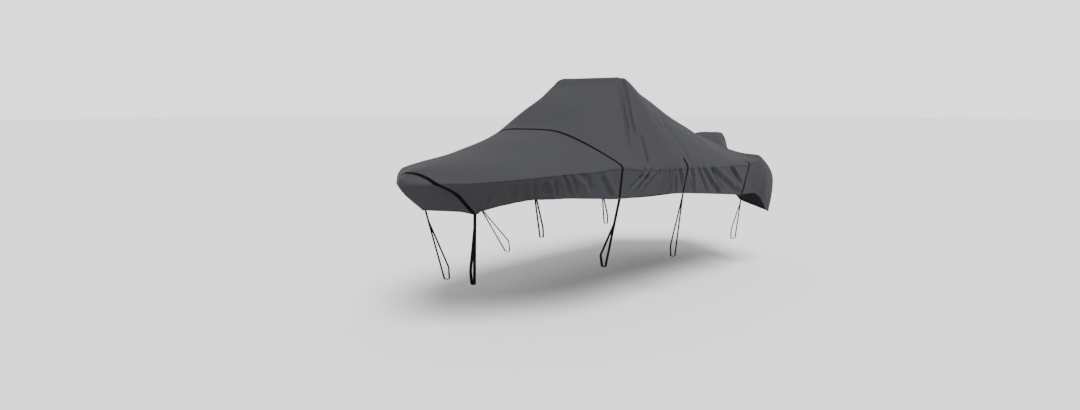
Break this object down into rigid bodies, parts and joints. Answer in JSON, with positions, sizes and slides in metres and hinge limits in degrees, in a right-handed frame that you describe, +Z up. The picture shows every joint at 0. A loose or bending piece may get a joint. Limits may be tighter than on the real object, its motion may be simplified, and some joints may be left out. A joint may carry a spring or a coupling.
{
  "type": "boat cover",
  "caption": "Fitted cloth cover for an open boat on a trailer, peaked over the console, with a motor hood and webbing tie-down loops.",
  "frame": {"origin": "underside of the cloth at the middle of its top over the console bar, the mount console_bar", "axes": "+X to the bow, +Y to port, +Z up"},
  "size_m": [5.5879, 2.1104, 1.818],
  "materials": {
    "bow_loop_port": "woven polyester webbing, black",
    "bow_loop_starboard": "woven polyester webbing, black",
    "bow_panel": "coated woven polyester, dark grey",
    "bow_strap": "woven polyester webbing, black",
    "console_panel": "coated woven polyester, dark grey",
    "mid_loop_port": "woven polyester webbing, black",
    "mid_loop_starboard": "woven polyester webbing, black",
    "mid_strap": "woven polyester webbing, black",
    "motor_hood": "coated woven polyester, dark grey",
    "rear_loop_port": "woven polyester webbing, black",
    "rear_loop_starboard": "woven polyester webbing, black",
    "rear_strap_port": "woven polyester webbing, black",
    "rear_strap_starboard": "woven polyester webbing, black",
    "skirt_port": "coated woven polyester, dark grey",
    "skirt_starboard": "coated woven polyester, dark grey",
    "stern_loop_port": "woven polyester webbing, black",
    "stern_loop_starboard": "woven polyester webbing, black",
    "stern_strap_port": "woven polyester webbing, black",
    "stern_strap_starboard": "woven polyester webbing, black",
    "transom_panel": "coated woven polyester, dark grey"
  },
  "bodies": {
    "root": {"bow_loop_port": "bow_loop_port", "bow_loop_starboard": "bow_loop_starboard", "bow_panel": "bow_panel", "bow_strap": "bow_strap", "console_panel": "console_panel", "mid_loop_port": "mid_loop_port", "mid_loop_starboard": "mid_loop_starboard", "mid_strap": "mid_strap", "motor_hood": "motor_hood", "rear_loop_port": "rear_loop_port", "rear_loop_starboard": "rear_loop_starboard", "rear_strap_port": "rear_strap_port", "rear_strap_starboard": "rear_strap_starboard", "skirt_port": "skirt_port", "skirt_starboard": "skirt_starboard", "stern_loop_port": "stern_loop_port", "stern_loop_starboard": "stern_loop_starboard", "stern_strap_port": "stern_strap_port", "stern_strap_starboard": "stern_strap_starboard", "transom_panel": "transom_panel"}
  },
  "joints": []
}
